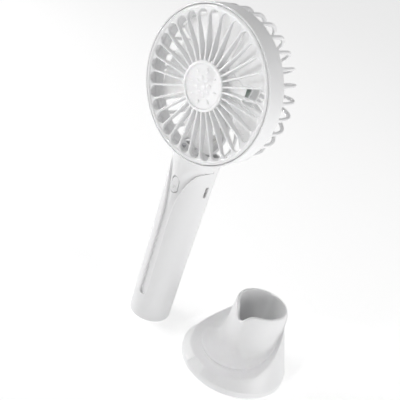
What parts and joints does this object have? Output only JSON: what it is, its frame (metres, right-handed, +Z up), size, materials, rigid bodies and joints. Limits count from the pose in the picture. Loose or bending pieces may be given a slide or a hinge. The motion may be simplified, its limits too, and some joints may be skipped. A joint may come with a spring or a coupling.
{
  "type": "handheld electric fan",
  "caption": "Round-headed cordless hand fan with a spoked front grille, wire-like rear cage, cylindrical sleeved handle with power button and charging port, and a sculpted desk stand.",
  "frame": {"origin": "centre of the handle's flat end, on the floor that the handle and the stand both stand on", "axes": "+Z up along the handle axis, towards the head; the front of the fan faces -Y; the stand is beside the handle on the +X side"},
  "size_m": [0.159, 0.075, 0.2312],
  "materials": {
    "shell_white": "satin off-white ABS, fine moulded grain",
    "core_white": "satin off-white ABS, a little greyer than the shell",
    "impeller_white": "smooth translucent-looking white plastic",
    "badge_grey": "satin light grey inlay with low relief",
    "steel": "turned or stamped steel",
    "bearing_steel": "ground bearing steel",
    "motor_iron": "laminated iron, dark lacquer",
    "magnet": "bonded ferrite",
    "copper": "enamelled copper wire",
    "motor_alloy": "die-cast, as cast",
    "circuit_board": "green solder mask on glass epoxy",
    "component_black": "moulded epoxy packages",
    "port_steel": "nickel-plated shell",
    "cell_wrap": "lithium cell in heat-shrink wrap",
    "nickel": "spot-welded nickel strip",
    "foam": "closed-cell foam",
    "wire": "white silicone insulated wire",
    "rubber_grey": "soft light grey rubber",
    "cast_weight": "plain cast weight"
  },
  "bodies": {
    "stand": {"stand_shell": "shell_white", "stand_base_plate": "core_white", "ballast_ring": "cast_weight", "base_screws": "steel", "anti_slip_pad": "rubber_grey"},
    "fan": {"front_grille": "shell_white", "hub_badge": "badge_grey", "head_housing": "shell_white", "rear_cage": "shell_white", "cage_ribs": "shell_white", "rear_cap": "shell_white", "front_bearing": "bearing_steel", "rear_bearing": "bearing_steel", "motor_base": "motor_alloy", "stator_core": "motor_iron", "stator_coils": "copper", "motor_board": "circuit_board", "motor_screws": "steel", "motor_leads": "wire", "neck_collar": "core_white", "neck_screws": "steel", "handle_sleeve": "shell_white", "core_front": "core_white", "core_rear": "core_white", "core_screws": "steel", "bottom_cap": "shell_white", "tact_switch": "port_steel", "control_board": "circuit_board", "board_chips": "component_black", "board_screws": "steel", "usb_port": "port_steel", "battery_cell": "cell_wrap", "battery_tabs": "nickel", "battery_pad": "foam", "battery_leads": "wire"},
    "rotor": {"impeller": "impeller_white", "rotor_can": "steel", "rotor_magnet": "magnet", "motor_shaft": "bearing_steel", "shaft_clip": "steel"},
    "button": {"power_button": "core_white", "switch_plunger": "component_black"}
  },
  "joints": [
    {"name": "fan_lift", "type": "slide", "parent": "stand", "child": "fan", "axis": [0, 0, 1], "range_m": [0, 0.08]},
    {"name": "impeller_spin", "type": "hinge", "parent": "fan", "child": "rotor", "pos_m": [0, 0, 0.1807], "axis": [0, -1, 0], "continuous": true},
    {"name": "button_press", "type": "slide", "parent": "fan", "child": "button", "axis": [0, 1, 0], "range_m": [0, 0.0005], "stiffness_N_per_m": 1500, "springref_m": -0.0005}
  ]
}
